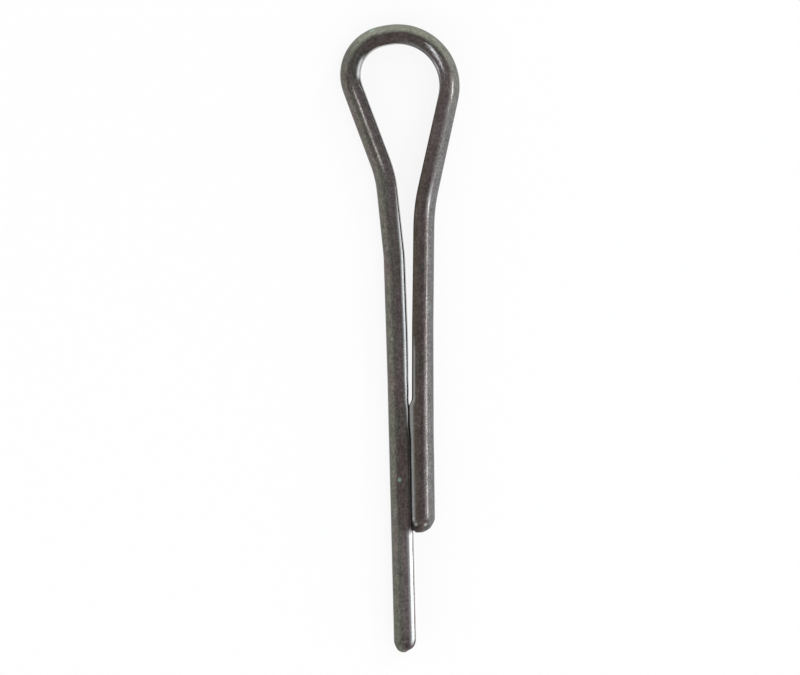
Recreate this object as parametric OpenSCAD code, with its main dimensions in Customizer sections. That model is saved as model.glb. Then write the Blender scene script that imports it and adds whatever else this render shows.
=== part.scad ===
// Cotter pin: one length of half-round wire, bent over an eye so that its two flats
// face each other. One leg is longer, so that the legs can be told apart and spread.
//
// The pin lies on its side, as it comes to rest: the loop is in the XY plane with the
// eye at +Y, and Z is across the wire. The Y axis is the shank's own axis, and the
// origin is on it, halfway along the stretch where the two legs lie together.

/* [Wire] */
// Radius of the half-round wire, from the middle of its flat to its back
wire_r = 1.85; // [1.6:0.05:2]
// Rounding of the two long edges between the flat and the round back
edge_r = 0.35; // [0.2:0.05:0.5]
// Depth of each small step by which the drawn wire gets slimmer all round towards the crown
step_depth = 0.01; // [0.0075:0.0025:0.02]

/* [Legs] */
// Length of the stretch where the legs lie together, from the short tip upwards
closed_len = 12.1; // [8:0.1:18]
// How far the long leg runs past the tip of the short one
tail_len = 10.1; // [3:0.1:16]
// Gap between the two flats at the short tip
tip_gap = 0.02; // [0.02:0.01:0.2]
// Lean of the long leg towards the short one, in degrees from the shank's axis
long_leg_lean = 0.45; // [0.3:0.05:0.5]
// Lean of the short leg towards the long one, above its tip
short_leg_lean = 0.25; // [0.1:0.05:0.5]

/* [Long side] */
// Length of the long leg's middle run, above the closed stretch
long_middle_len = 10; // [5:0.1:14]
// Lean of that middle run
long_middle_lean = 0.95; // [0.7:0.05:2]
// Length of the long leg's upper run, below the neck
long_upper_len = 5.2; // [3:0.1:9]
// Lean of that upper run
long_upper_lean = 5.2; // [3:0.1:8]
// Length of the straight flank between the neck and the crown
long_flank_len = 6.7; // [5:0.1:10]
// Lean of that flank
long_flank_lean = 19.6; // [15:0.1:24]

/* [Short side] */
// Length of the short leg's middle run, above its straight end
short_middle_len = 8; // [5:0.1:10]
// Lean of that middle run
short_middle_lean = 0.95; // [0.7:0.05:1.3]
// Length of the short leg's upper run, below the neck
short_upper_len = 8; // [5:0.1:11]
// Lean of that upper run
short_upper_lean = 1.6; // [1.4:0.05:3]
// Lean of the straight flank between the neck and the crown
short_flank_lean = 13.4; // [10:0.1:18]

/* [Bends] */
// Bend radius of the flat in the slight bows low on both legs
bow_r = 100; // [50:5:180]
// Bend radius of the flat where the long leg leaves the shank
long_shoulder_r = 12.5; // [6:0.5:25]
// Bend radius of the flat at the neck of the long side
long_neck_r = 10.5; // [5:0.5:15]
// Bend radius of the flat at the neck of the short side
short_neck_r = 17; // [8:0.5:22]

/* [Eye] */
// Inner radius of the crown on the long leg's side
long_crown_r = 2.4; // [2:0.05:3.2]
// Inner radius of the crown on the short leg's side
short_crown_r = 3.5; // [2.6:0.05:4.2]
// Length of the straight run on top of the crown
crown_top_len = 0.5; // [0.2:0.05:2]
// Slope of that top run, rising towards the short side, in degrees
crown_top_rise = 9.3; // [0:0.1:15]

/* [Tips] */
// Rounding of the long tip at the wire's back
long_tip_back_r = 0.8; // [0.4:0.05:0.8]
// Rounding of the long tip at the flat
long_tip_flat_r = 1; // [0.3:0.05:1]
// Rounding of the short tip at the wire's back
short_tip_back_r = 1.1; // [0.4:0.05:1.2]
// Rounding of the short tip at the flat
short_tip_flat_r = 0.45; // [0.2:0.05:0.6]

/* [Hidden] */
$fn = 96;

// How far each straight run reaches into the bends beside it
seat = 0.06;
// How far each rounding starts outside the surface that it blends into
relief = 0.006;
// A length that is well outside the wire
far = 4 * wire_r;

// The tips' places. The flats face each other across the shank's axis.
short_tip = [tip_gap / 2, -closed_len / 2];
long_tip = [-tip_gap / 2 + tail_len * tan(long_leg_lean), short_tip.y - tail_len];

// The wire's way runs up the long leg, over the crown and down the short leg. It is a
// chain of straight runs, and each two are joined by a bend. A heading is measured
// clockwise from +Y, and the wire's back is always on the left of the way.
headings = [
    -long_leg_lean, -long_middle_lean, -long_upper_lean, -long_flank_lean,
    90 - crown_top_rise,
    180 + short_flank_lean, 180 + short_upper_lean, 180 + short_middle_lean, 180 + short_leg_lean
];
bend_radii = [
    bow_r, long_shoulder_r, long_neck_r, long_crown_r,
    short_crown_r, short_neck_r, bow_r, bow_r
];
// The short leg is the last run, and the short flank is the third before it. These two
// get the lengths that bring the wire's end to the short tip, so they are left at 0
// here and worked out below.
SHORT_LEG = len(headings) - 1;
SHORT_FLANK = SHORT_LEG - 3;
set_lengths = [
    tail_len + closed_len, long_middle_len, long_upper_len, long_flank_len,
    crown_top_len,
    0, short_upper_len, short_middle_len, 0
];

function ahead(heading) = [sin(heading), cos(heading)];
function aside(heading) = [cos(heading), -sin(heading)];
function turn(i) = headings[i + 1] - headings[i];
// From the start to the end of the bend after run i
function bend_step(i) =
    sign(turn(i)) * bend_radii[i] * (aside(headings[i]) - aside(headings[i + 1]));
// Where run i starts, on a wire with the given lengths
function run_start(lengths, i) =
    i == 0 ? long_tip
    : run_start(lengths, i - 1) + lengths[i - 1] * ahead(headings[i - 1]) + bend_step(i - 1);

// What the two open lengths still have to cover, split along their headings
rest = short_tip - run_start(set_lengths, SHORT_LEG);
flank_way = ahead(headings[SHORT_FLANK]);
leg_way = ahead(headings[SHORT_LEG]);
short_flank_len = cross(rest, leg_way) / cross(flank_way, leg_way);
short_leg_len = cross(rest, flank_way) / cross(leg_way, flank_way);
lengths = [
    for (i = [0 : SHORT_LEG])
        i == SHORT_FLANK ? short_flank_len : i == SHORT_LEG ? short_leg_len : set_lengths[i]
];

// How much slimmer the wire is at each of its pieces, counting runs and bends together
// from the nearer tip
last_piece = 2 * SHORT_LEG;
function slimming(piece) = step_depth * min(piece, last_piece - piece);

// The wire's section: the round back is at -X, and the flat faces +X. The circles that
// round its two edges stand out of the back and the flat by the relief.
module section(slim) {
    back_r = wire_r - slim;
    edge_x = -slim - edge_r + relief;
    edge_y = sqrt(pow(back_r - edge_r + relief, 2) - pow(edge_x, 2));
    edge = [edge_x, edge_y];
    lower_edge = [edge_x, -edge_y];
    outward = far * edge / norm(edge);
    intersection() {
        circle(back_r);
        translate([-far, -far]) square([far - slim, 2 * far]);
        union() {
            translate(edge) circle(edge_r);
            translate(lower_edge) circle(edge_r);
            translate(lower_edge) square([far, 2 * edge_y]);
            polygon([
                edge, outward, [-far, far],
                [-far, -far], [outward.x, -outward.y], lower_edge
            ]);
        }
    }
}

// A straight bar of the wire along +Y
module bar(length, slim) {
    rotate([-90, 0, 0]) linear_extrude(length) section(slim);
}

// A leg with its rounded tip at the origin, standing along +Y
module leg(length, tip_back_r, tip_flat_r) {
    reach = length + 2 * seat;
    back = wire_r + relief;
    intersection() {
        bar(length + seat, 0);
        // The back's end is rounded as on a turned rod
        rotate([-90, 0, 0]) rotate_extrude() intersection() {
            square([back, reach]);
            union() {
                square([back - tip_back_r, reach]);
                translate([0, tip_back_r]) square([back, reach]);
                translate([back - tip_back_r, tip_back_r]) circle(tip_back_r);
            }
        }
        // The flat's end is rounded straight across the wire
        linear_extrude(far, center = true) {
            translate([-far, 0]) square([far + relief - tip_flat_r, reach]);
            translate([-far, tip_flat_r]) square([far + relief, reach]);
            translate([relief - tip_flat_r, tip_flat_r]) circle(tip_flat_r);
        }
    }
}

// The straight run with the given number, which reaches into the bends at both its ends
module run(i) {
    translate(run_start(lengths, i)) rotate(-headings[i])
        translate([0, -seat]) bar(lengths[i] + 2 * seat, slimming(2 * i));
}

// The bend after the run with the given number
module bend(i) {
    bend_start = run_start(lengths, i) + lengths[i] * ahead(headings[i]);
    radius = bend_radii[i];
    slim = slimming(2 * i + 1);
    if (turn(i) > 0)
        // To the right, with the wire's back outside the bend
        translate(bend_start + radius * aside(headings[i])) rotate(180 - headings[i + 1])
            rotate_extrude(angle = turn(i)) translate([radius, 0]) mirror([1, 0]) section(slim);
    else
        // To the left, with the wire's back inside the bend
        translate(bend_start - radius * aside(headings[i])) rotate(-headings[i])
            rotate_extrude(angle = -turn(i)) translate([radius, 0]) section(slim);
}

module pin() {
    color("dimgray") {
        translate(long_tip) rotate(long_leg_lean)
            leg(lengths[0], long_tip_back_r, long_tip_flat_r);
        translate(short_tip) rotate(-short_leg_lean) mirror([1, 0, 0])
            leg(short_leg_len, short_tip_back_r, short_tip_flat_r);
        for (i = [1 : SHORT_LEG - 1]) run(i);
        for (i = [0 : SHORT_LEG - 1]) bend(i);
    }
}

pin();
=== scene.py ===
import logging
import math
from dataclasses import dataclass, field
from enum import Enum

import bpy
import numpy as np
from mathutils import Matrix, Vector, noise


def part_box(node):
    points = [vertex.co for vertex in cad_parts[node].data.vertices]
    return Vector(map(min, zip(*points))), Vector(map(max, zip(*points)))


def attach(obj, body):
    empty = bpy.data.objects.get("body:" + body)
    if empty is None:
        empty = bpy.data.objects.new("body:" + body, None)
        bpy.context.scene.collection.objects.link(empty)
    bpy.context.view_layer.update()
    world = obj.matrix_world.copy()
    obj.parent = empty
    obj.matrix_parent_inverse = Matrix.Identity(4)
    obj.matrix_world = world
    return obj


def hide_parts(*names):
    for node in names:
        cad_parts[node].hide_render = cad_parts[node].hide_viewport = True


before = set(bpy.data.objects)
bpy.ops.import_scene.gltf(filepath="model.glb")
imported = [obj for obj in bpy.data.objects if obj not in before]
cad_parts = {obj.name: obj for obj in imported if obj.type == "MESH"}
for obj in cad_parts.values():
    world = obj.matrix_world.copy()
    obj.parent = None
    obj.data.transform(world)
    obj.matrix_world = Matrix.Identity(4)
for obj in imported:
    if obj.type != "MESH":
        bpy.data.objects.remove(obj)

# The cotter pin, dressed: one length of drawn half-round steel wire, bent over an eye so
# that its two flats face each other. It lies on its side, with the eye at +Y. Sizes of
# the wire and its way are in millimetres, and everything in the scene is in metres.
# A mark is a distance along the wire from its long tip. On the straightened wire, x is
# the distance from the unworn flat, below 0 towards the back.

Colour = tuple[float, float, float]
Table = tuple[tuple[float, float], ...]
Socket = bpy.types.NodeSocket

MM = 0.001
WIRE_RADIUS = 1.85
NOISE_SPAN = (0.3, 0.7)
SMALLEST = 1e-8
log = logging.getLogger("cotter_pin")


def read_off(table: Table, place: float) -> float:
    """Gives a table's value at a place, between its rows too."""
    return float(np.interp(place, *zip(*table)))


def ramp(value: float, start: float, length: float) -> float:
    """Gives 0 up to the start, 1 from a length beyond it, and a share in between."""
    return min(max((value - start) / length, 0.0), 1.0)


def stand(name: str, data: bpy.types.ID) -> bpy.types.Object:
    """Puts a mesh, a lamp or a camera into the scene.

    Args:
        name: The object's name.
        data: What it shows.

    Returns:
        The new object.
    """
    made = bpy.data.objects.new(name, data)
    bpy.context.scene.collection.objects.link(made)
    return made


class Tip(Enum):
    """The wire's two ends."""

    LONG = "long"
    SHORT = "short"


class Pointing(Enum):
    """How a coordinate of the straightened wire is stretched in a texture."""

    EVEN = (1.0, 1.0, 1.0)
    DRAWN = (0.05, 1.0, 1.0)
    CLOUDED = (0.3, 1.0, 1.0)


@dataclass(frozen=True)
class Texture:
    """A noise over the straightened wire, with its scale per millimetre."""

    pointing: Pointing
    scale: float
    detail: float


@dataclass(frozen=True)
class Nodes:
    """The nodes of a material or a world, and the ways in which they are joined here."""

    tree: bpy.types.NodeTree

    def add(self, kind: str) -> bpy.types.Node:
        """Adds a shader node of a kind."""
        return self.tree.nodes.new("ShaderNode" + kind)

    def feed(self, value: Socket | float | tuple[float, ...], socket: Socket) -> None:
        """Gives a socket its value.

        Args:
            value: Another node's output, or a constant.
            socket: The socket that takes it.
        """
        if isinstance(value, (float, tuple)):
            socket.default_value = value
        else:
            self.tree.links.new(value, socket)

    def layer(self, name: str, output: str = "Fac") -> Socket:
        """Reads one of the mesh's own layers.

        Args:
            name: The layer's name.
            output: What is read from it.

        Returns:
            The layer's value.
        """
        layer = self.add("Attribute")
        layer.attribute_name = name
        return layer.outputs[output]

    def noise(self, place: Socket, texture: Texture) -> Socket:
        """Adds a noise.

        Args:
            place: The place on the straightened wire, in millimetres.
            texture: The noise's stretch, scale and detail.

        Returns:
            The noise's value.
        """
        stretch = self.add("Mapping")
        self.feed(texture.pointing.value, stretch.inputs["Scale"])
        self.feed(place, stretch.inputs["Vector"])
        made = self.add("TexNoise")
        self.feed(texture.scale, made.inputs["Scale"])
        self.feed(texture.detail, made.inputs["Detail"])
        self.feed(stretch.outputs["Vector"], made.inputs["Vector"])
        return made.outputs["Fac"]

    def calculate(
        self, operation: str, first: Socket, second: Socket | float, clamp: bool = False
    ) -> Socket:
        """Works out a value from two others.

        Args:
            operation: What is done with them.
            first: The first value.
            second: The second value.
            clamp: Whether the result is kept from 0 to 1.

        Returns:
            The result.
        """
        made = self.add("Math")
        made.operation = operation
        made.use_clamp = clamp
        self.feed(first, made.inputs[0])
        self.feed(second, made.inputs[1])
        return made.outputs[0]

    def spread(
        self, value: Socket, low: float, high: float, at_low: float, at_high: float
    ) -> Socket:
        """Maps a range of a value onto another range.

        Args:
            value: The value.
            low: Its value that gives at_low.
            high: Its value that gives at_high.
            at_low: The result at low and below.
            at_high: The result at high and above.

        Returns:
            The mapped value.
        """
        made = self.add("MapRange")
        ends = ("From Min", "From Max", "To Min", "To Max")
        for socket, number in zip(ends, (low, high, at_low, at_high)):
            self.feed(number, made.inputs[socket])
        self.feed(value, made.inputs["Value"])
        return made.outputs["Result"]

    def blend(
        self, first: Socket | float, second: Socket, share: Socket | float
    ) -> Socket:
        """Mixes two values.

        Args:
            first: The value at share 0.
            second: The value at share 1.
            share: How much of the second there is.

        Returns:
            The mixed value.
        """
        mix = self.add("Mix")
        for value, socket in ((share, 0), (first, 2), (second, 3)):
            self.feed(value, mix.inputs[socket])
        return mix.outputs[0]

    def tint(self, share: Socket, first: Socket | Colour, second: Socket | Colour) -> Socket:
        """Mixes two colours.

        Args:
            share: How much of the second there is.
            first: The colour at share 0.
            second: The colour at share 1.

        Returns:
            The mixed colour.
        """
        mix = self.add("Mix")
        mix.data_type = "RGBA"
        self.feed(share, mix.inputs[0])
        for colour, socket in ((first, 6), (second, 7)):
            solid = (*colour, 1.0) if isinstance(colour, tuple) else colour
            self.feed(solid, mix.inputs[socket])
        return mix.outputs[2]


@dataclass(frozen=True)
class Run:
    """A straight run of the wire and the bend after it.

    The heading is in degrees clockwise from +Y, and the bend's radius is the flat's.
    """

    length: float
    heading: float
    bend_radius: float = 0.0


@dataclass(frozen=True)
class WireWay:
    """The way of the flat's middle, from the long tip over the crown to the short tip."""

    start: tuple[float, float] = (0.0693, -16.148)
    end: tuple[float, float] = (0.01, -6.05)
    runs: tuple[Run, ...] = (
        Run(22.2, -0.45, 100.0),
        Run(10.0, -0.95, 12.5),
        Run(5.2, -5.2, 10.5),
        Run(6.7, -19.6, 2.4),
        Run(0.5, 80.7, 3.5),
        Run(7.892, 193.4, 17.0),
        Run(8.0, 181.6, 100.0),
        Run(8.0, 180.95, 100.0),
        Run(7.453, 180.25),
    )
    fine_step: float = 0.01
    station_step: float = 0.2
    easing: float = 0.5

    def headings(self) -> tuple[np.ndarray, np.ndarray]:
        """Gives the wire's heading along its length, with its changes eased.

        Returns:
            The marks, and the headings there in radians.
        """
        marks, angles, mark = [0.0], [math.radians(self.runs[0].heading)], 0.0
        for run, after in zip(self.runs, self.runs[1:] + (None,)):
            mark += run.length
            marks.append(mark)
            angles.append(math.radians(run.heading))
            if after is not None:
                mark += run.bend_radius * abs(math.radians(after.heading - run.heading))
                marks.append(mark)
                angles.append(math.radians(after.heading))
        fine = np.linspace(0.0, mark, int(mark / self.fine_step) + 1)
        heading = np.interp(fine, marks, angles)
        half = int(self.easing / self.fine_step)
        kernel = np.hanning(2 * half + 3)[1:-1]
        padded = np.pad(heading, half, mode="edge")
        return fine, np.convolve(padded, kernel / kernel.sum(), mode="valid")

    def stations(self) -> tuple[np.ndarray, np.ndarray, np.ndarray]:
        """Walks the way at even steps.

        Returns:
            The marks, the flat's middle points there, and the headings in radians.
        """
        fine, heading = self.headings()
        step = fine[1] - fine[0]
        ahead = np.stack([np.sin(heading), np.cos(heading)], 1)
        moves = (ahead[1:] + ahead[:-1]) / 2 * step
        points = np.vstack([[0.0, 0.0], np.cumsum(moves, 0)]) + np.array(self.start)
        # What the easing and the rounded lengths leave over is spread along the way
        drift = np.array(self.end) - points[-1]
        points += drift * (fine / fine[-1])[:, None]
        count = int(round(fine[-1] / self.station_step)) + 1
        marks = np.linspace(0.0, fine[-1], count)
        middles = np.stack([np.interp(marks, fine, points[:, k]) for k in (0, 1)], 1)
        return marks, middles, np.interp(marks, fine, heading)


@dataclass(frozen=True)
class WornEdge:
    """How the two long edges are worn at a mark.

    Each has a rounding next to the flat, a sloping land, and a rounding next to the back.
    The slope is in degrees out of the flat's plane.
    """

    mark: float
    flat_side_r: float
    slope: float
    land: float
    back_side_r: float


@dataclass(frozen=True)
class HalfRound:
    """The wire's section: a round back, a flat, and two worn long edges.

    The whole section is pressed down a little, to a share of a true half round's height.
    """

    radius: float = WIRE_RADIUS
    height_share: float = 0.975
    flat_points: int = 8
    edge_points: int = 6
    land_points: int = 4
    back_points: int = 37
    land_fade: tuple[float, float] = (0.6, 0.1)

    def outline(
        self, radius: float, recess: float, worn: WornEdge, share: float
    ) -> np.ndarray:
        """Gives one closed section, with the back at -X and the flat facing +X.

        Args:
            radius: The back's radius, about the middle of the unworn flat.
            recess: How far the flat lies behind that middle.
            worn: The wear of the long edges here.
            share: The size of the edges here, as a share of their full size.

        Returns:
            Rows of (x, z) in order round the section, from the flat's middle.
        """
        slope = math.radians(worn.slope)
        inner, outer, land = (
            share * size for size in (worn.flat_side_r, worn.back_side_r, worn.land)
        )
        deep, wide = land * math.sin(slope), land * math.cos(slope)
        # The land's end next to the back, from where the outer rounding meets the back
        start_x = -recess - inner * (1 - math.cos(slope)) - deep
        centre_x = start_x - outer * math.cos(slope)
        centre_z = math.sqrt(max((radius - outer) ** 2 - centre_x ** 2, SMALLEST))
        meet = math.atan2(centre_z, centre_x)
        start_z = centre_z + outer * math.sin(slope)
        inner_x, inner_z = -recess - inner, start_z - wide - inner * math.sin(slope)
        flat = [(-recess, z) for z in np.linspace(0.0, inner_z, self.flat_points)[:-1]]
        sloping = [
            (start_x + (1 - t) * deep, start_z - (1 - t) * wide)
            for t in np.linspace(0.0, 1.0, self.land_points)[:-1]
        ]
        upper = (
            flat
            + self._arc(inner_x, inner_z, inner, 0.0, slope)
            + sloping
            + self._arc(centre_x, centre_z, outer, slope, meet)
            + [
                (radius * math.cos(angle), radius * math.sin(angle))
                for angle in np.linspace(meet, math.pi, self.back_points)
            ]
        )
        lower = [(x, -z) for x, z in reversed(upper[1:-1])]
        return np.array(upper + lower) * (1.0, self.height_share)

    def _arc(
        self, x: float, z: float, radius: float, start: float, end: float
    ) -> list[tuple[float, float]]:
        """Gives the points of one edge rounding, without its last.

        Args:
            x: The centre's x.
            z: The centre's z.
            radius: The rounding's radius.
            start: The angle that it starts at, in radians.
            end: The angle that it ends at.

        Returns:
            Its points in order.
        """
        return [
            (x + radius * math.cos(angle), z + radius * math.sin(angle))
            for angle in np.linspace(start, end, self.edge_points)[:-1]
        ]

    def lands(self) -> np.ndarray:
        """Marks the section's points that lie on the two lands.

        Returns:
            1 on the lands, less and less on the roundings behind them, and 0 elsewhere.
        """
        first = self.flat_points + self.edge_points - 2
        last, fading = first + self.land_points, self.edge_points - 2
        upper = np.zeros(last + fading + self.back_points)
        upper[first:last] = 1.0
        upper[last:last + fading] = np.linspace(*self.land_fade, fading)
        return np.concatenate([upper, upper[-2:0:-1]])


@dataclass(frozen=True)
class ShearedTip:
    """How one end of the wire is sheared, tumbled round and worn.

    The back and the flat are each set in by so much at so far from the end.
    """

    tip: Tip
    back: Table
    flat: Table
    rings: int = 20
    softening: float = 0.1
    samples: int = 9

    def reach(self) -> float:
        """Gives how far from the end the tip's own shape goes."""
        return max(self.back[-1][0], self.flat[-1][0])

    def spacing(self) -> np.ndarray:
        """Spaces the tip's rings, closest together at its end."""
        return self.reach() * (1 - np.cos(np.linspace(0, math.pi / 2, self.rings)))

    def set_in(self, near: float) -> tuple[float, float]:
        """Gives how far the back and the flat are set in.

        Args:
            near: The distance from this end of the wire.

        Returns:
            The back's and the flat's set-in, both smoothed along the wire.
        """
        half = self.softening * min(1.0, near / self.softening)
        around = np.maximum(near + np.linspace(-half, half, self.samples), 0.0)
        back, flat = (
            float(np.interp(around, *zip(*shape)).mean()) for shape in (self.back, self.flat)
        )
        return back, flat


@dataclass(frozen=True)
class Seam:
    """Where the two legs lie together, and how they part above."""

    closed: tuple[float, float] = (-5.9, 4.6)
    opening: dict[Tip, float] = field(
        default_factory=lambda: {Tip.LONG: 3.0, Tip.SHORT: 0.7}
    )
    parted: Table = (
        (4.4, 0.0), (5.2, 0.09), (6.0, 0.07), (6.9, 0.09), (7.7, 0.06), (9.4, 0.02),
        (10.5, 0.0),
    )
    gap: float = 0.008
    place: float = -0.13

    def recess(self, middle: np.ndarray, tip: Tip, slim: float) -> float:
        """Gives how far the flat lies behind the way here.

        Args:
            middle: The way's point.
            tip: The end of the leg that the flat is on.
            slim: What the flat recedes by where the legs are apart.

        Returns:
            The distance, below 0 where the flat stands out.
        """
        shut = self._shut(middle[1], tip)
        side = 1.0 if tip is Tip.LONG else -1.0
        closed = side * (middle[0] - self.place) + self.gap / 2
        parted = read_off(self.parted, middle[1]) if tip is Tip.LONG else 0.0
        return (1 - shut) * slim + shut * closed + parted

    def _shut(self, height: float, tip: Tip) -> float:
        """Gives how far the flat here is closed onto the other leg's.

        Args:
            height: The place's Y.
            tip: The end of the leg that the flat is on.

        Returns:
            1 where the two flats lie together, and 0 where they are apart.
        """
        low, high = self.closed
        opening = self.opening[tip]
        if height < low or height > high + opening:
            return 0.0
        share = min(1.0, (high + opening - height) / opening)
        return share * share * (3 - 2 * share)


@dataclass(frozen=True)
class WearAndPaintedLight:
    """Where the oxide is worn off and the steel shows, with painted sheen, highlight and shade.

    The tables go by the mark. A depth is a share of the way from the flat to the back.
    """

    back_starts: Table = ((52.0, 0.54), (60.0, 0.61))
    back_fade: float = 0.17
    # Lighter shares on the outer sides and in the middle, by mark: worn oxide, and painted
    # sheen where the outer sides reflect the bright floor.
    rubbed_and_sheen_back: Table = (
        (0.0, 0.5), (1.0, 0.16), (50.5, 0.16), (52.0, 1.1), (57.0, 0.92), (60.0, 0.6),
        (97.0, 0.65),
    )
    rubbed_and_sheen_middle: Table = (
        (0.0, 0.6), (0.3, 0.3), (1.2, 0.3), (1.8, 0.65), (9.5, 0.7), (11.0, 0.15),
        (19.0, 0.15), (22.0, 0.32), (38.0, 0.35), (41.0, 0.45), (48.0, 0.4), (51.0, 0.15),
        (56.0, 0.15), (59.5, 0.42), (64.0, 0.36), (69.0, 0.16), (76.0, 0.1), (97.0, 0.1),
    )
    bare_lands: Table = (
        (0.5, 0.0), (0.95, 1.0), (9.9, 1.0), (10.4, 0.0), (18.8, 0.0), (20.4, 0.5),
        (22.5, 1.0), (33.0, 1.0), (36.0, 0.7), (39.0, 0.1), (40.0, 0.0), (48.9, 0.0),
        (49.3, 1.0), (50.4, 1.0), (51.2, 0.0), (53.5, 0.0), (55.0, 0.25), (58.5, 0.3),
        (60.5, 0.0), (80.6, 0.0), (82.0, 0.45), (95.9, 0.5), (96.1, 0.28), (96.4, 0.45),
        (96.6, 0.1),
    )
    # A painted highlight: a line of light steel colour across the back at a set depth, brighter
    # in dashes where the lamp's highlight is brighter, by mark.
    painted_highlight: Table = (
        (58.3, 0.0), (60.0, 0.2), (62.0, 0.04), (66.0, 0.04), (67.0, 0.1), (69.0, 0.45),
        (71.0, 0.05), (80.0, 0.02), (81.0, 0.08), (82.5, 0.04), (84.0, 0.14), (86.0, 0.22),
        (88.0, 0.1), (91.0, 0.04), (93.0, 0.1), (95.6, 0.13), (96.1, 0.08), (96.4, 0.0),
    )
    painted_highlight_depth: float = 0.63
    painted_highlight_width: float = 0.06
    # Painted shade next to the flat, by mark: in the groove where the legs lie together and
    # along the eye's inner edges.
    painted_shade_by_mark: Table = (
        (10.2, 0.0), (10.8, 0.8), (18.5, 0.8), (20.5, 0.0), (39.0, 0.0), (41.0, 0.6),
        (48.6, 0.7), (49.0, 0.0), (51.5, 0.0), (52.0, 0.8), (58.0, 0.8), (60.0, 0.3),
        (64.0, 0.7), (72.0, 0.7), (73.5, 0.0),
    )
    painted_shade_reach: Table = ((10.0, 0.33), (20.0, 0.33), (21.0, 0.2))
    painted_shade_fade: float = 0.12
    tip_painted_shade: float = 0.8
    tip_painted_shade_marks: tuple[float, float] = (96.5, 0.4)
    tip_painted_shade_from_back: tuple[float, float] = (-0.85, 0.35)

    def rubbed_and_sheen(self, mark: float, x: float) -> float:
        """Gives how far the oxide is worn off, with painted sheen that lightens the outer
        sides.

        Args:
            mark: The place's mark.
            x: Its distance from the unworn flat.

        Returns:
            The share of worn oxide and painted sheen, from 0 to about 1.
        """
        # The outer sides get the lighter colour: painted sheen in place of the floor's
        # reflection, on top of worn oxide.
        outward = ramp(-x / WIRE_RADIUS, read_off(self.back_starts, mark), self.back_fade)
        back, middle = (
            read_off(shares, mark) for shares in (self.rubbed_and_sheen_back, self.rubbed_and_sheen_middle)
        )
        return outward * back + (1 - outward) * middle

    def bare_and_painted_highlight(self, land: float, mark: float, x: float) -> float:
        """Gives the share of worn-through steel on a land, and of the painted highlight line.

        Args:
            land: How far the place is on a land, from 0 to 1.
            mark: The place's mark.
            x: Its distance from the unworn flat.

        Returns:
            The share of worn-through steel and painted highlight, from 0 to 1.
        """
        # The painted highlight line, centred at its depth across the back.
        off = (-x / WIRE_RADIUS - self.painted_highlight_depth) / self.painted_highlight_width
        highlight_share = math.exp(-off * off) * read_off(self.painted_highlight, mark)
        return max(land * read_off(self.bare_lands, mark), highlight_share)

    def painted_shade(self, mark: float, x: float) -> float:
        """Gives the painted shade in the groove between the legs, along the eye's inner edges
        and at the short tip.

        Args:
            mark: The place's mark.
            x: Its distance from the unworn flat.

        Returns:
            The share of full painted shade, from 0 to 1.
        """
        # Painted shade near the flat, and on the short tip's end.
        near = ramp(x, -read_off(self.painted_shade_reach, mark), self.painted_shade_fade)
        tip = ramp(mark, *self.tip_painted_shade_marks) * ramp(x, *self.tip_painted_shade_from_back)
        return max(near * read_off(self.painted_shade_by_mark, mark), self.tip_painted_shade * tip)


@dataclass(frozen=True)
class FleckOrPaintedLight:
    """A small spot of colour on the wire, at its place on the straightened wire. Some are real
    marks, two are painted highlights, and one is a dark mark that is also painted shade.
    """

    place: tuple[float, float, float]
    radius: float
    strength: float
    colour: Colour = (0.42, 0.62, 0.5)
    core: float = 0.4


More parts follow.
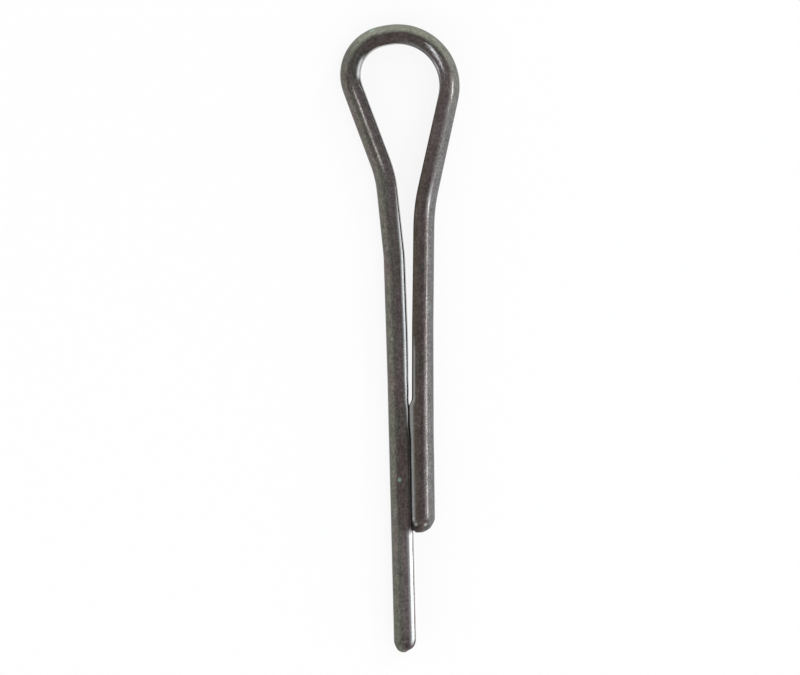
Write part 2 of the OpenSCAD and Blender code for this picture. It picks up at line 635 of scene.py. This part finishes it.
@dataclass(frozen=True)
class DrawnSteel:
    """Dark, lightly oxidised steel with draw lines, grain and worn places, and painted sheen,
    highlight and shade.
    """

    name: str = "dark_drawn_steel"
    # Steel with its oxide worn through, also the colour of the painted highlight line.
    bare_and_painted_highlight: Colour = (0.92, 0.95, 0.97)
    edge_tint: Colour = (0.62, 0.62, 0.62)
    # The lighter colour of worn oxide, also used as painted sheen on the outer sides.
    rubbed_and_sheen: Colour = (0.27, 0.276, 0.224)
    rubbed_and_sheen_short_side: Colour = (0.26, 0.267, 0.272)
    rubbed_and_sheen_inwards: Colour = (0.3, 0.251, 0.262)
    oxide: Colour = (0.138, 0.103, 0.1)
    olive_oxide: Colour = (0.118, 0.117, 0.098)
    flat_side_oxide: Colour = (0.165, 0.138, 0.104)
    # The colour of painted shade.
    painted_shade: Colour = (0.045, 0.042, 0.04)
    sides_meet: tuple[float, float] = (56.0, 62.0)
    beside_flat: tuple[float, float] = (-0.7, -0.3)
    inwards: tuple[float, float] = (-1.12, -0.8)
    olive_patches: tuple[float, float] = (0.36, 0.56)
    fewer_on_short_side: float = 0.12
    blotch: Texture = Texture(Pointing.EVEN, 1.1, 4.0)
    clouds: Texture = Texture(Pointing.CLOUDED, 0.8, 3.0)
    lines: Texture = Texture(Pointing.DRAWN, 9.0, 3.0)
    grain: Texture = Texture(Pointing.EVEN, 5.0, 4.0)
    dashes: Texture = Texture(Pointing.CLOUDED, 2.2, 2.0)
    mottle: float = 0.3
    speckle: float = 0.34
    lines_in_speckle: float = 0.35
    smooth: float = 0.11
    dull: float = 0.29
    gloss_span: tuple[float, float] = (0.35, 0.65)
    sheared_ends: tuple[tuple[float, float, float], ...] = (
        (1.02, 0.88, 0.33), (96.02, 96.14, 0.2),
    )
    bump_strength: float = 0.5
    bump_depth: float = 0.015
    grain_in_bump: float = 0.6
    flecks_and_painted_light: tuple[FleckOrPaintedLight, ...] = (
        FleckOrPaintedLight((14.6, -1.0, 1.53), 0.24, 0.9),
        FleckOrPaintedLight((26.5, -1.3, 1.29), 0.2, 0.35),
        FleckOrPaintedLight((52.3, -1.62, 0.8), 0.25, 0.6),
        # Painted highlights: two light spots at the short tip, where the front lamp glints.
        FleckOrPaintedLight((96.55, -0.27, 1.45), 0.24, 0.95, (0.95, 1.0, 0.95)),
        FleckOrPaintedLight((96.6, -1.02, 1.13), 0.24, 0.65, (0.9, 0.95, 0.94)),
        # A dark mark at the long tip, which also serves as painted shade that dims a lamp's
        # highlight there.
        FleckOrPaintedLight((0.58, -0.7, 1.5), 0.34, 0.45, (0.07, 0.055, 0.05)),
    )

    def material(self) -> bpy.types.Material:
        """Builds the finish.

        Returns:
            The material, which reads the straightened wire's place from the mesh.
        """
        steel = bpy.data.materials.new(self.name)
        steel.use_nodes = True
        nodes = Nodes(steel.node_tree)
        shader = steel.node_tree.nodes["Principled BSDF"]
        nodes.feed(1.0, shader.inputs["Metallic"])
        nodes.feed((*self.edge_tint, 1.0), shader.inputs["Specular Tint"])
        place = nodes.layer("wire_place", "Vector")
        split = nodes.add("SeparateXYZ")
        nodes.feed(place, split.inputs[0])
        mark, x = split.outputs["X"], split.outputs["Y"]
        lines, grain = (nodes.noise(place, texture) for texture in (self.lines, self.grain))

        # Worn oxide, and painted sheen that lightens the wire's outer sides like the bright
        # floor's reflection.
        worn = self._rubbed_and_sheen_share(nodes, place, grain)
        colour = nodes.tint(worn, *self._layers_of_colour(nodes, place, mark, x))
        # Painted shade in the groove between the legs, along the eye's inner edges and at the
        # short tip.
        colour = nodes.tint(nodes.layer("painted_shade"), colour, self.painted_shade)
        colour = self._speckled(nodes, colour, nodes.blend(grain, lines, self.lines_in_speckle))
        # Worn-through steel on the lands, and the painted highlight line.
        colour = nodes.tint(nodes.layer("bare_and_painted_highlight"), colour, self.bare_and_painted_highlight)
        # Real flecks, two painted highlights at the short tip, and painted shade at the long
        # tip.
        for fleck_or_painted_light in self.flecks_and_painted_light:
            colour = nodes.tint(self._near(nodes, place, fleck_or_painted_light), colour, fleck_or_painted_light.colour)
        nodes.feed(colour, shader.inputs["Base Color"])

        rough = self._roughness(nodes, place, mark, nodes.blend(lines, grain, 0.5))
        nodes.feed(rough, shader.inputs["Roughness"])
        # The draw lines and the grain are sunk into the surface
        bump = nodes.add("Bump")
        bump.invert = True
        nodes.feed(self.bump_strength, bump.inputs["Strength"])
        nodes.feed(self.bump_depth * MM, bump.inputs["Distance"])
        nodes.feed(nodes.blend(lines, grain, self.grain_in_bump), bump.inputs["Height"])
        nodes.feed(bump.outputs["Normal"], shader.inputs["Normal"])
        return steel

    def _layers_of_colour(
        self, nodes: Nodes, place: Socket, mark: Socket, x: Socket
    ) -> tuple[Socket, Socket]:
        """Colours the oxide and the steel under it.

        Args:
            nodes: The material's nodes.
            place: The place on the straightened wire.
            mark: The place's mark.
            x: Its distance from the unworn flat.

        Returns:
            The oxide's colour, and the lighter colour of worn oxide and painted sheen.
        """
        side = nodes.spread(mark, *self.sides_meet, 0.0, 1.0)
        rubbed_and_sheen = nodes.tint(side, self.rubbed_and_sheen, self.rubbed_and_sheen_short_side)
        inwards = nodes.spread(x, *self.inwards, 0.0, 1.0)
        rubbed_and_sheen = nodes.tint(inwards, rubbed_and_sheen, self.rubbed_and_sheen_inwards)
        clouds = nodes.noise(place, self.clouds)
        fewer = nodes.spread(side, 0.0, 1.0, 0.0, self.fewer_on_short_side)
        patchy = nodes.calculate("SUBTRACT", clouds, fewer)
        patches = nodes.spread(patchy, *self.olive_patches, 0.0, 1.0)
        oxide = nodes.tint(patches, self.oxide, self.olive_oxide)
        beside = nodes.spread(x, *self.beside_flat, 0.0, 1.0)
        beside = nodes.calculate("MULTIPLY", beside, side)
        return nodes.tint(beside, oxide, self.flat_side_oxide), rubbed_and_sheen

    def _rubbed_and_sheen_share(self, nodes: Nodes, place: Socket, grain: Socket) -> Socket:
        """Gives the share of worn oxide and painted sheen, with some mottling.

        Args:
            nodes: The material's nodes.
            place: The place on the straightened wire.
            grain: The grain's noise.

        Returns:
            The share, from 0 to 1.
        """
        uneven = nodes.blend(nodes.noise(place, self.blotch), grain, 0.5)
        mottle = nodes.spread(uneven, *NOISE_SPAN, -self.mottle, self.mottle)
        return nodes.calculate("ADD", nodes.layer("rubbed_and_sheen"), mottle, clamp=True)

    def _speckled(self, nodes: Nodes, colour: Socket, uneven: Socket) -> Socket:
        """Makes a colour lighter and darker in fine specks.

        Args:
            nodes: The material's nodes.
            colour: The colour.
            uneven: The noise that the specks follow.

        Returns:
            The speckled colour.
        """
        speckled = nodes.add("VectorMath")
        speckled.operation = "SCALE"
        nodes.feed(colour, speckled.inputs[0])
        speckle = nodes.spread(uneven, *NOISE_SPAN, 1 - self.speckle, 1 + self.speckle)
        nodes.feed(speckle, speckled.inputs["Scale"])
        return speckled.outputs[0]

    def _near(self, nodes: Nodes, place: Socket, fleck_or_painted_light: FleckOrPaintedLight) -> Socket:
        """Gives the share of a spot of colour at each place.

        Args:
            nodes: The material's nodes.
            place: The place on the straightened wire.
            fleck_or_painted_light: The spot of colour.

        Returns:
            Its strength in its middle, and 0 outside its radius.
        """
        apart = nodes.add("VectorMath")
        apart.operation = "DISTANCE"
        nodes.feed(place, apart.inputs[0])
        nodes.feed(fleck_or_painted_light.place, apart.inputs[1])
        return nodes.spread(
            apart.outputs["Value"], fleck_or_painted_light.core * fleck_or_painted_light.radius, fleck_or_painted_light.radius, fleck_or_painted_light.strength, 0.0
        )

    def _roughness(self, nodes: Nodes, place: Socket, mark: Socket, uneven: Socket) -> Socket:
        """Gives the steel's roughness, with dull sheared ends.

        Args:
            nodes: The material's nodes.
            place: The place on the straightened wire.
            mark: The place's mark.
            uneven: The noise of the draw lines and the grain.

        Returns:
            The roughness.
        """
        gloss = nodes.blend(uneven, nodes.noise(place, self.dashes), 0.5)
        rough = nodes.spread(gloss, *self.gloss_span, self.smooth, self.dull)
        for start, full, dullness in self.sheared_ends:
            end = nodes.spread(mark, start, full, 0.0, dullness)
            rough = nodes.calculate("ADD", rough, end)
        return rough


@dataclass
class CotterPin:
    """The pin itself: the bent wire with its sheared tips."""

    way: WireWay = field(default_factory=WireWay)
    section: HalfRound = field(default_factory=HalfRound)
    seam: Seam = field(default_factory=Seam)
    wear_and_painted_light: WearAndPaintedLight = field(default_factory=WearAndPaintedLight)
    finish: DrawnSteel = field(default_factory=DrawnSteel)
    long_tip: ShearedTip = ShearedTip(
        Tip.LONG,
        back=(
            (0.0, 0.66), (0.02, 0.57), (0.06, 0.47), (0.1, 0.41), (0.19, 0.29),
            (0.35, 0.21), (0.54, 0.12), (0.77, 0.03), (0.95, 0.0),
        ),
        flat=(
            (0.0, 0.88), (0.03, 0.84), (0.12, 0.72), (0.19, 0.56), (0.27, 0.39),
            (0.35, 0.27), (0.42, 0.19), (0.54, 0.13), (0.73, 0.06), (1.0, 0.0),
        ),
    )
    short_tip: ShearedTip = ShearedTip(
        Tip.SHORT,
        back=(
            (0.0, 1.1), (0.07, 0.88), (0.16, 0.71), (0.26, 0.52), (0.39, 0.38),
            (0.56, 0.27), (0.77, 0.15), (0.94, 0.06), (1.15, 0.0),
        ),
        flat=((0.0, 0.24), (0.05, 0.17), (0.15, 0.1), (0.3, 0.04), (0.45, 0.0)),
    )
    edges: tuple[WornEdge, ...] = (
        WornEdge(0.0, 0.28, 49.5, 0.22, 0.3),
        WornEdge(9.0, 0.26, 49.5, 0.25, 0.3),
        WornEdge(10.2, 0.16, 50.0, 0.3, 0.35),
        WornEdge(10.6, 0.08, 50.0, 0.02, 0.12),
        WornEdge(18.0, 0.08, 50.0, 0.02, 0.12),
        WornEdge(19.2, 0.32, 55.0, 0.06, 0.2),
        WornEdge(21.0, 0.3, 55.0, 0.08, 0.2),
        WornEdge(24.0, 0.24, 51.5, 0.16, 0.22),
        WornEdge(32.0, 0.27, 51.5, 0.17, 0.22),
        WornEdge(37.0, 0.25, 54.0, 0.1, 0.25),
        WornEdge(41.0, 0.2, 55.0, 0.04, 0.2),
        WornEdge(48.0, 0.12, 55.0, 0.04, 0.2),
        WornEdge(49.2, 0.08, 55.0, 0.22, 0.22),
        WornEdge(50.8, 0.08, 55.0, 0.18, 0.22),
        WornEdge(51.6, 0.1, 55.0, 0.04, 0.15),
        WornEdge(54.5, 0.1, 55.0, 0.14, 0.3),
        WornEdge(58.5, 0.1, 55.0, 0.14, 0.3),
        WornEdge(61.0, 0.08, 50.0, 0.04, 0.12),
        WornEdge(72.0, 0.1, 55.0, 0.04, 0.12),
        WornEdge(80.0, 0.22, 58.0, 0.06, 0.12),
        WornEdge(82.0, 0.34, 58.0, 0.1, 0.12),
        WornEdge(85.8, 0.34, 58.0, 0.1, 0.12),
        WornEdge(86.6, 0.06, 60.0, 0.27, 0.32),
        WornEdge(97.0, 0.06, 60.0, 0.27, 0.32),
    )
    slimmer: Table = (
        (20.0, 0.0), (33.0, 0.03), (38.0, 0.052), (48.0, 0.07), (53.0, 0.09),
        (60.0, 0.085), (69.0, 0.06), (80.0, 0.037), (89.0, 0.015), (91.0, 0.0),
    )
    tip_clearance: float = 0.1
    waviness: float = 0.005
    wave_lengths: tuple[float, float, float] = (1.3, 1.2, 1.2)
    wave_fade: float = 0.4
    cap_share: float = 0.5

    def build(self) -> bpy.types.Object:
        """Builds the wire's mesh and dresses it.

        Returns:
            The finished piece, riding with the part's body.
        """
        rings, places = self._rings()
        mesh = self._skin(rings, places)
        pin = stand("pin_wire", mesh)
        mesh.materials.append(self.finish.material())
        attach(pin, "root")
        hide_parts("pin")
        return pin

    def _rings(self) -> tuple[list[np.ndarray], list[np.ndarray]]:
        """Gives the rings of points that make up the wire.

        Returns:
            The rings in the pin's frame, and the same points on the straightened wire.
        """
        stations, middles, headings = self.way.stations()
        rings, places = [], []
        for mark in self._marks(stations):
            middle = np.array([np.interp(mark, stations, middles[:, k]) for k in (0, 1)])
            heading = float(np.interp(mark, stations, headings))
            outline = self._outline_at(mark, stations[-1], middle)
            ring, place = self._place(outline, middle, heading, mark)
            rings.append(ring)
            places.append(place)
        return rings, places

    def _marks(self, stations: np.ndarray) -> np.ndarray:
        """Gives the marks at which rings stand, closer together at the tips.

        Args:
            stations: The way's even marks.

        Returns:
            The rings' marks, in order.
        """
        low = self.long_tip.spacing()
        high = stations[-1] - self.short_tip.spacing()[::-1]
        start, end = low[-1] + self.tip_clearance, high[0] - self.tip_clearance
        between = stations[(stations > start) & (stations < end)]
        return np.concatenate([low, between, high])

    def _outline_at(self, mark: float, total: float, middle: np.ndarray) -> np.ndarray:
        """Gives the section at a mark, with the tip's shape and the seam there.

        Args:
            mark: The mark.
            total: The wire's whole length.
            middle: The flat's middle here.

        Returns:
            Rows of (x, z) round the section.
        """
        slim = read_off(self.slimmer, mark)
        near, tip = mark, self.long_tip
        if mark > total / 2:
            near, tip = total - mark, self.short_tip
        back, flat = tip.set_in(near)
        radius = self.section.radius - slim - back
        recess = self.seam.recess(middle, tip.tip, slim) + flat
        share = min(1.0, (radius - recess) / self.section.radius)
        return self.section.outline(radius, recess, self._edge_at(mark), share)

    def _edge_at(self, mark: float) -> WornEdge:
        """Gives how the long edges are worn at a mark, between the listed ones too.

        Args:
            mark: The mark.

        Returns:
            How they are worn there.
        """
        sizes = {
            name: read_off(tuple((edge.mark, getattr(edge, name)) for edge in self.edges), mark)
            for name in ("flat_side_r", "slope", "land", "back_side_r")
        }
        return WornEdge(mark, **sizes)

    def _place(
        self, outline: np.ndarray, middle: np.ndarray, heading: float, mark: float
    ) -> tuple[np.ndarray, np.ndarray]:
        """Sets a section up at its place on the way, with the wire's waviness.

        Args:
            outline: The section's points.
            middle: The middle of the flat.
            heading: The wire's heading in radians.
            mark: The section's mark.

        Returns:
            The ring's points in the pin's frame and on the straightened wire.
        """
        aside = np.array([math.cos(heading), -math.sin(heading)])
        ring, place = [], []
        for x, z in outline:
            swell = self._swell(mark, x, z) / (math.hypot(x, z) or 1.0)
            across = middle + aside * x * (1 + swell)
            ring.append((across[0] * MM, across[1] * MM, z * (1 + swell) * MM))
            place.append((mark, x, z))
        return np.array(ring), np.array(place)

    def _swell(self, mark: float, x: float, z: float) -> float:
        """Gives how far the back's surface waves in, as a distance below 0.

        Args:
            mark: The place's mark.
            x: Its distance from the unworn flat.
            z: Its height over the wire's middle plane.

        Returns:
            The distance, which is 0 on the flat.
        """
        if x >= 0:
            return 0.0
        place = [along / length for along, length in zip((mark, x, z), self.wave_lengths)]
        wave = (noise.noise(Vector(place)) - 1) / 2
        return self.waviness * wave * min(1.0, -x / self.wave_fade)

    def _skin(self, rings: list[np.ndarray], places: list[np.ndarray]) -> bpy.types.Mesh:
        """Joins the rings into one closed mesh, and closes its ends.

        Args:
            rings: The rings' points in the pin's frame.
            places: The same points on the straightened wire.

        Returns:
            The mesh, with its wire_place layer and its layers of worn-through steel and painted
            highlight, painted shade, and worn oxide and painted sheen.
        """
        count = len(rings[0])
        points = [tuple(point) for ring in rings for point in ring]
        spots = [tuple(spot) for place in places for spot in place]
        faces = []
        for r in range(len(rings) - 1):
            for k in range(count):
                a, b = r * count + k, r * count + (k + 1) % count
                faces.append((a, a + count, b + count, b))
        for r, order in ((0, 1), (len(rings) - 1, -1)):
            centre = len(points)
            for listed, ends in ((points, rings), (spots, places)):
                middle = ends[r].mean(0)
                inner_ring = ends[r] * self.cap_share + middle * (1 - self.cap_share)
                listed.append(tuple(middle))
                listed += [tuple(point) for point in inner_ring]
            inner = centre + 1
            for k in range(count):
                a, b = r * count + k, r * count + (k + 1) % count
                c, d = inner + (k + 1) % count, inner + k
                faces += [(a, b, c, d)[::order], (d, c, centre)[::order]]
        mesh = bpy.data.meshes.new("pin_wire")
        mesh.from_pydata(points, [], faces)
        self._mark_wear_and_painted_light(mesh, spots, len(rings))
        mesh.shade_smooth()
        mesh.update()
        return mesh

    def _mark_wear_and_painted_light(
        self, mesh: bpy.types.Mesh, spots: list[tuple[float, float, float]], rings: int
    ) -> None:
        """Writes each point's straightened place, how worn it is, and its painted sheen,
        highlight and shade into the mesh.

        Args:
            mesh: The wire's mesh.
            spots: Its points on the straightened wire, those of the rings first.
            rings: How many rings there are.
        """
        place = mesh.attributes.new("wire_place", "FLOAT_VECTOR", "POINT")
        place.data.foreach_set("vector", np.array(spots, np.float32).ravel())
        lands = list(self.section.lands()) * rings
        lands += [0.0] * (len(spots) - len(lands))
        wear_and_painted_light = self.wear_and_painted_light
        layers = {
            "bare_and_painted_highlight": [wear_and_painted_light.bare_and_painted_highlight(land, mark, x) for land, (mark, x, _) in zip(lands, spots)],
            "painted_shade": [wear_and_painted_light.painted_shade(mark, x) for mark, x, _ in spots],
            "rubbed_and_sheen": [wear_and_painted_light.rubbed_and_sheen(mark, x) for mark, x, _ in spots],
        }
        for name, shares in layers.items():
            layer = mesh.attributes.new(name, "FLOAT", "POINT")
            layer.data.foreach_set("value", np.array(shares, np.float32))


@dataclass(frozen=True)
class Lamp:
    """A soft strip lamp, which stands round the pin from one direction to another.

    A direction is an azimuth from +X and an elevation, both in degrees.
    """

    name: str
    start: tuple[float, float]
    end: tuple[float, float]
    width: float
    brightness: float
    colour: Colour = (1.0, 1.0, 1.0)
    distance: float = 0.7
    reflected: bool = True

    def place_of(self, direction: tuple[float, float]) -> Vector:
        """Gives the point that lies in a direction, at the lamp's distance.

        Args:
            direction: The azimuth and the elevation.

        Returns:
            The point, seen from the pin.
        """
        azimuth, elevation = (math.radians(angle) for angle in direction)
        level = math.cos(elevation)
        out = (math.cos(azimuth) * level, math.sin(azimuth) * level, math.sin(elevation))
        return Vector(out) * self.distance

    def build(self, target: Vector) -> bpy.types.Object:
        """Stands the lamp up, facing the pin.

        Args:
            target: The point that it faces.

        Returns:
            The lamp's object.
        """
        low, high = self.place_of(self.start), self.place_of(self.end)
        middle, length = (low + high) / 2, (high - low).length
        light = bpy.data.lights.new(self.name, "AREA")
        light.shape = "RECTANGLE"
        light.color = self.colour
        light.size, light.size_y = self.width, length
        light.energy = self.brightness * math.pi * self.width * length
        lamp = stand(self.name, light)
        out, along = middle.normalized(), (high - low).normalized()
        turned = Matrix((along.cross(out), along, out)).transposed().to_4x4()
        lamp.matrix_world = Matrix.Translation(target + middle) @ turned
        lamp.visible_camera = False
        lamp.visible_glossy = self.reflected
        return lamp


@dataclass
class Studio:
    """The plain pale floor, the soft surroundings and the lamps.

    The surroundings are at the overhead level, and brighter low down on one side.
    """

    floor_size: float = 6.0
    floor_grey: float = 0.95
    floor_glow: float = 0.88
    overhead: float = 0.42
    horizon: float = 1.0
    horizon_heights: tuple[float, float] = (0.05, 0.32)
    bright_side: tuple[float, float, float] = (0.5, 0.866, 0.0)
    bright_side_span: tuple[float, float] = (-1.0, 0.15)
    lamps: tuple[Lamp, ...] = (
        Lamp("front_softbox", (-90.0, 25.0), (-90.0, 75.0), 1.2, 1.0, reflected=False),
        Lamp("overhead_softbox", (0.0, 65.0), (0.0, 85.0), 0.65, 2.6, reflected=False),
        Lamp("right_softbox", (-6.0, 16.0), (-6.0, 25.0), 0.6, 0.5),
        Lamp("right_window", (0.0, 3.5), (0.0, 8.0), 0.2, 4.8),
        Lamp("left_spot", (200.0, 32.5), (200.0, 35.5), 0.035, 40.0, (0.93, 1.0, 1.0)),
        Lamp("upper_right_strip", (56.0, 30.0), (28.0, 50.0), 0.05, 11.0, (0.73, 0.95, 1.0)),
    )

    def build(self, ground: float, target: Vector) -> None:
        """Sets up the floor, the surroundings and the lamps.

        Args:
            ground: The height that the pin rests at.
            target: The point that the lamps face.
        """
        self._floor(ground)
        self._surroundings()
        for lamp in self.lamps:
            lamp.build(target)

    def _floor(self, ground: float) -> None:
        """Lays the floor.

        Args:
            ground: Its height.
        """
        half = self.floor_size / 2
        mesh = bpy.data.meshes.new("floor")
        signs = ((-1, -1), (1, -1), (1, 1), (-1, 1))
        corners = [(x * half, y * half, ground) for x, y in signs]
        mesh.from_pydata(corners, [], [(0, 1, 2, 3)])
        mesh.materials.append(self._floor_finish())
        stand("floor", mesh)

    def _floor_finish(self) -> bpy.types.Material:
        """Builds the floor's finish, which looks nearly white and still takes a shadow.

        Returns:
            The material.
        """
        material = bpy.data.materials.new("pale_floor")
        material.use_nodes = True
        material.node_tree.nodes.clear()
        nodes = Nodes(material.node_tree)
        grey = nodes.add("BsdfDiffuse")
        nodes.feed((*(self.floor_grey,) * 3, 1.0), grey.inputs["Color"])
        glow = nodes.add("Emission")
        nodes.feed((1.0, 1.0, 1.0, 1.0), glow.inputs["Color"])
        path = nodes.add("LightPath").outputs
        seen = nodes.calculate("MAXIMUM", path["Is Camera Ray"], path["Is Glossy Ray"])
        seen = nodes.calculate("MAXIMUM", seen, path["Is Transmission Ray"])
        mix = nodes.add("MixShader")
        nodes.feed(nodes.calculate("MULTIPLY", seen, self.floor_glow), mix.inputs[0])
        nodes.feed(grey.outputs[0], mix.inputs[1])
        nodes.feed(glow.outputs[0], mix.inputs[2])
        nodes.feed(mix.outputs[0], nodes.add("OutputMaterial").inputs["Surface"])
        return material

    def _surroundings(self) -> None:
        """Lights the room softly, and more so near the horizon on its bright side."""
        world = bpy.data.worlds.new("soft_room")
        bpy.context.scene.world = world
        world.use_nodes = True
        nodes = Nodes(world.node_tree)
        direction = nodes.add("TexCoord").outputs["Generated"]
        split = nodes.add("SeparateXYZ")
        nodes.feed(direction, split.inputs[0])
        facing = nodes.add("VectorMath")
        facing.operation = "DOT_PRODUCT"
        nodes.feed(direction, facing.inputs[0])
        nodes.feed(self.bright_side, facing.inputs[1])
        low_down = nodes.spread(
            facing.outputs["Value"], *self.bright_side_span, self.overhead, self.horizon
        )
        height = nodes.spread(split.outputs["Z"], *self.horizon_heights, 1.0, 0.0)
        level = nodes.blend(self.overhead, low_down, height)
        nodes.feed(level, world.node_tree.nodes["Background"].inputs["Color"])


@dataclass(frozen=True)
class Viewpoint:
    """The camera, which looks down on the lying pin from a little to one side."""

    centre: tuple[float, float] = (-0.834, 10.459)
    frame_width: float = 67.68
    distance: float = 900.0
    sideways: float = 1.5
    roll: float = 0.98
    sensor: float = 36.0

    def build(self) -> None:
        """Makes the camera and sets it as the scene's own."""
        lens = bpy.data.cameras.new("viewpoint")
        lens.sensor_width = self.sensor
        lens.lens = self.sensor * self.distance / self.frame_width
        camera = stand("viewpoint", lens)
        side, roll = math.radians(self.sideways), math.radians(self.roll)
        target = Vector((self.centre[0] * MM, self.centre[1] * MM, 0.0))
        right = Vector((math.cos(roll), -math.sin(roll), 0.0))
        out = right * math.sin(side) + Vector((0.0, 0.0, 1.0)) * math.cos(side)
        up = Vector((math.sin(roll), math.cos(roll), 0.0))
        across = up.cross(out).normalized()
        turned = Matrix((across, out.cross(across), out)).transposed().to_4x4()
        camera.matrix_world = Matrix.Translation(target + out * self.distance * MM) @ turned
        bpy.context.scene.camera = camera


def main() -> None:
    """Builds the pin, the studio and the camera."""
    logging.basicConfig(level=logging.INFO, format="%(name)s: %(message)s")
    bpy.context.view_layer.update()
    pin = CotterPin().build()
    log.info("%s: %d faces", pin.name, len(pin.data.polygons))
    node_low, node_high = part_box("pin")
    Studio().build(node_low.z, (node_low + node_high) / 2)
    log.info("studio: floor at %.4f mm", node_low.z / MM)
    Viewpoint().build()
    log.info("viewpoint: set")
    bpy.context.scene.view_settings.view_transform = "Standard"


if __name__ == "__main__":
    main()
